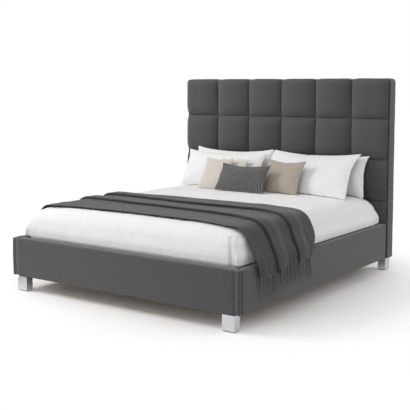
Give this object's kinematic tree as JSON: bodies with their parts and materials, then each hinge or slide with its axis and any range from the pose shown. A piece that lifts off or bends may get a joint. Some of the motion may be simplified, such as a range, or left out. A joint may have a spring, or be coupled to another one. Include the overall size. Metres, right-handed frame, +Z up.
{
  "type": "upholstered headboard bed",
  "caption": "Charcoal upholstered bed with a tall biscuit-tufted headboard, padded rails, chrome block legs and slatted base, dressed with white bedding, cushions and a fringed throw.",
  "frame": {"origin": "on the floor, at the middle of the bed's overall box", "axes": "+Z up, +Y from the footboard towards the headboard, +X across the bed to the right as seen from the foot"},
  "size_m": [1.982, 2.215, 1.51],
  "materials": {
    "charcoal_fabric": "matte",
    "pine": "satin",
    "plywood": "matte",
    "black_cloth": "matte",
    "chrome": "polished",
    "zinc_steel": "satin",
    "black_steel": "satin",
    "black_plastic": "matte",
    "mattress_ticking": "matte",
    "white_cotton": "matte",
    "beige_linen": "matte",
    "cream_linen": "matte",
    "ivory_linen": "matte",
    "taupe_linen": "matte",
    "grey_knit": "matte",
    "grey_wool": "matte"
  },
  "bodies": {
    "bed": {"beige_cushion": "beige_linen", "centre_beam": "pine", "centre_leg_1": "black_steel", "centre_leg_2": "black_steel", "cream_cushion": "cream_linen", "duvet": "white_cotton", "footboard_board": "plywood", "footboard_cover": "charcoal_fabric", "front_beam_socket": "zinc_steel", "headboard_back_cover": "black_cloth", "headboard_bottom_rail": "pine", "headboard_left_border": "charcoal_fabric", "headboard_left_stile": "pine", "headboard_panel": "plywood", "headboard_right_border": "charcoal_fabric", "headboard_right_stile": "pine", "headboard_top_border": "charcoal_fabric", "headboard_top_rail": "pine", "headboard_tufted_pad": "charcoal_fabric", "ivory_cushion": "ivory_linen", "left_back_pillow": "white_cotton", "left_front_bracket": "zinc_steel", "left_front_glide": "black_plastic", "left_front_leg": "chrome", "left_front_pillow": "white_cotton", "left_rail_board": "plywood", "left_rail_cover": "charcoal_fabric", "left_rear_bracket": "zinc_steel", "left_rear_glide": "black_plastic", "left_rear_leg": "chrome", "left_slat_ledger": "pine", "lumbar_cushion": "grey_knit", "mattress": "mattress_ticking", "rear_beam_socket": "zinc_steel", "right_back_pillow": "white_cotton", "right_front_bracket": "zinc_steel", "right_front_glide": "black_plastic", "right_front_leg": "chrome", "right_front_pillow": "white_cotton", "right_rail_board": "plywood", "right_rail_cover": "charcoal_fabric", "right_rear_bracket": "zinc_steel", "right_rear_glide": "black_plastic", "right_rear_leg": "chrome", "right_slat_ledger": "pine", "slat_01": "pine", "slat_02": "pine", "slat_03": "pine", "slat_04": "pine", "slat_05": "pine", "slat_06": "pine", "slat_07": "pine", "slat_08": "pine", "slat_09": "pine", "slat_10": "pine", "slat_11": "pine", "taupe_cushion": "taupe_linen", "throw": "grey_wool"},
    "foot_1": {"levelling_foot_1": "black_plastic"},
    "foot_2": {"levelling_foot_2": "black_plastic"}
  },
  "joints": [
    {"name": "levelling_foot_1_height", "type": "slide", "parent": "bed", "child": "foot_1", "axis": [0, 0, 1], "range_m": [0, 0.012]},
    {"name": "levelling_foot_2_height", "type": "slide", "parent": "bed", "child": "foot_2", "axis": [0, 0, 1], "range_m": [0, 0.012]}
  ]
}
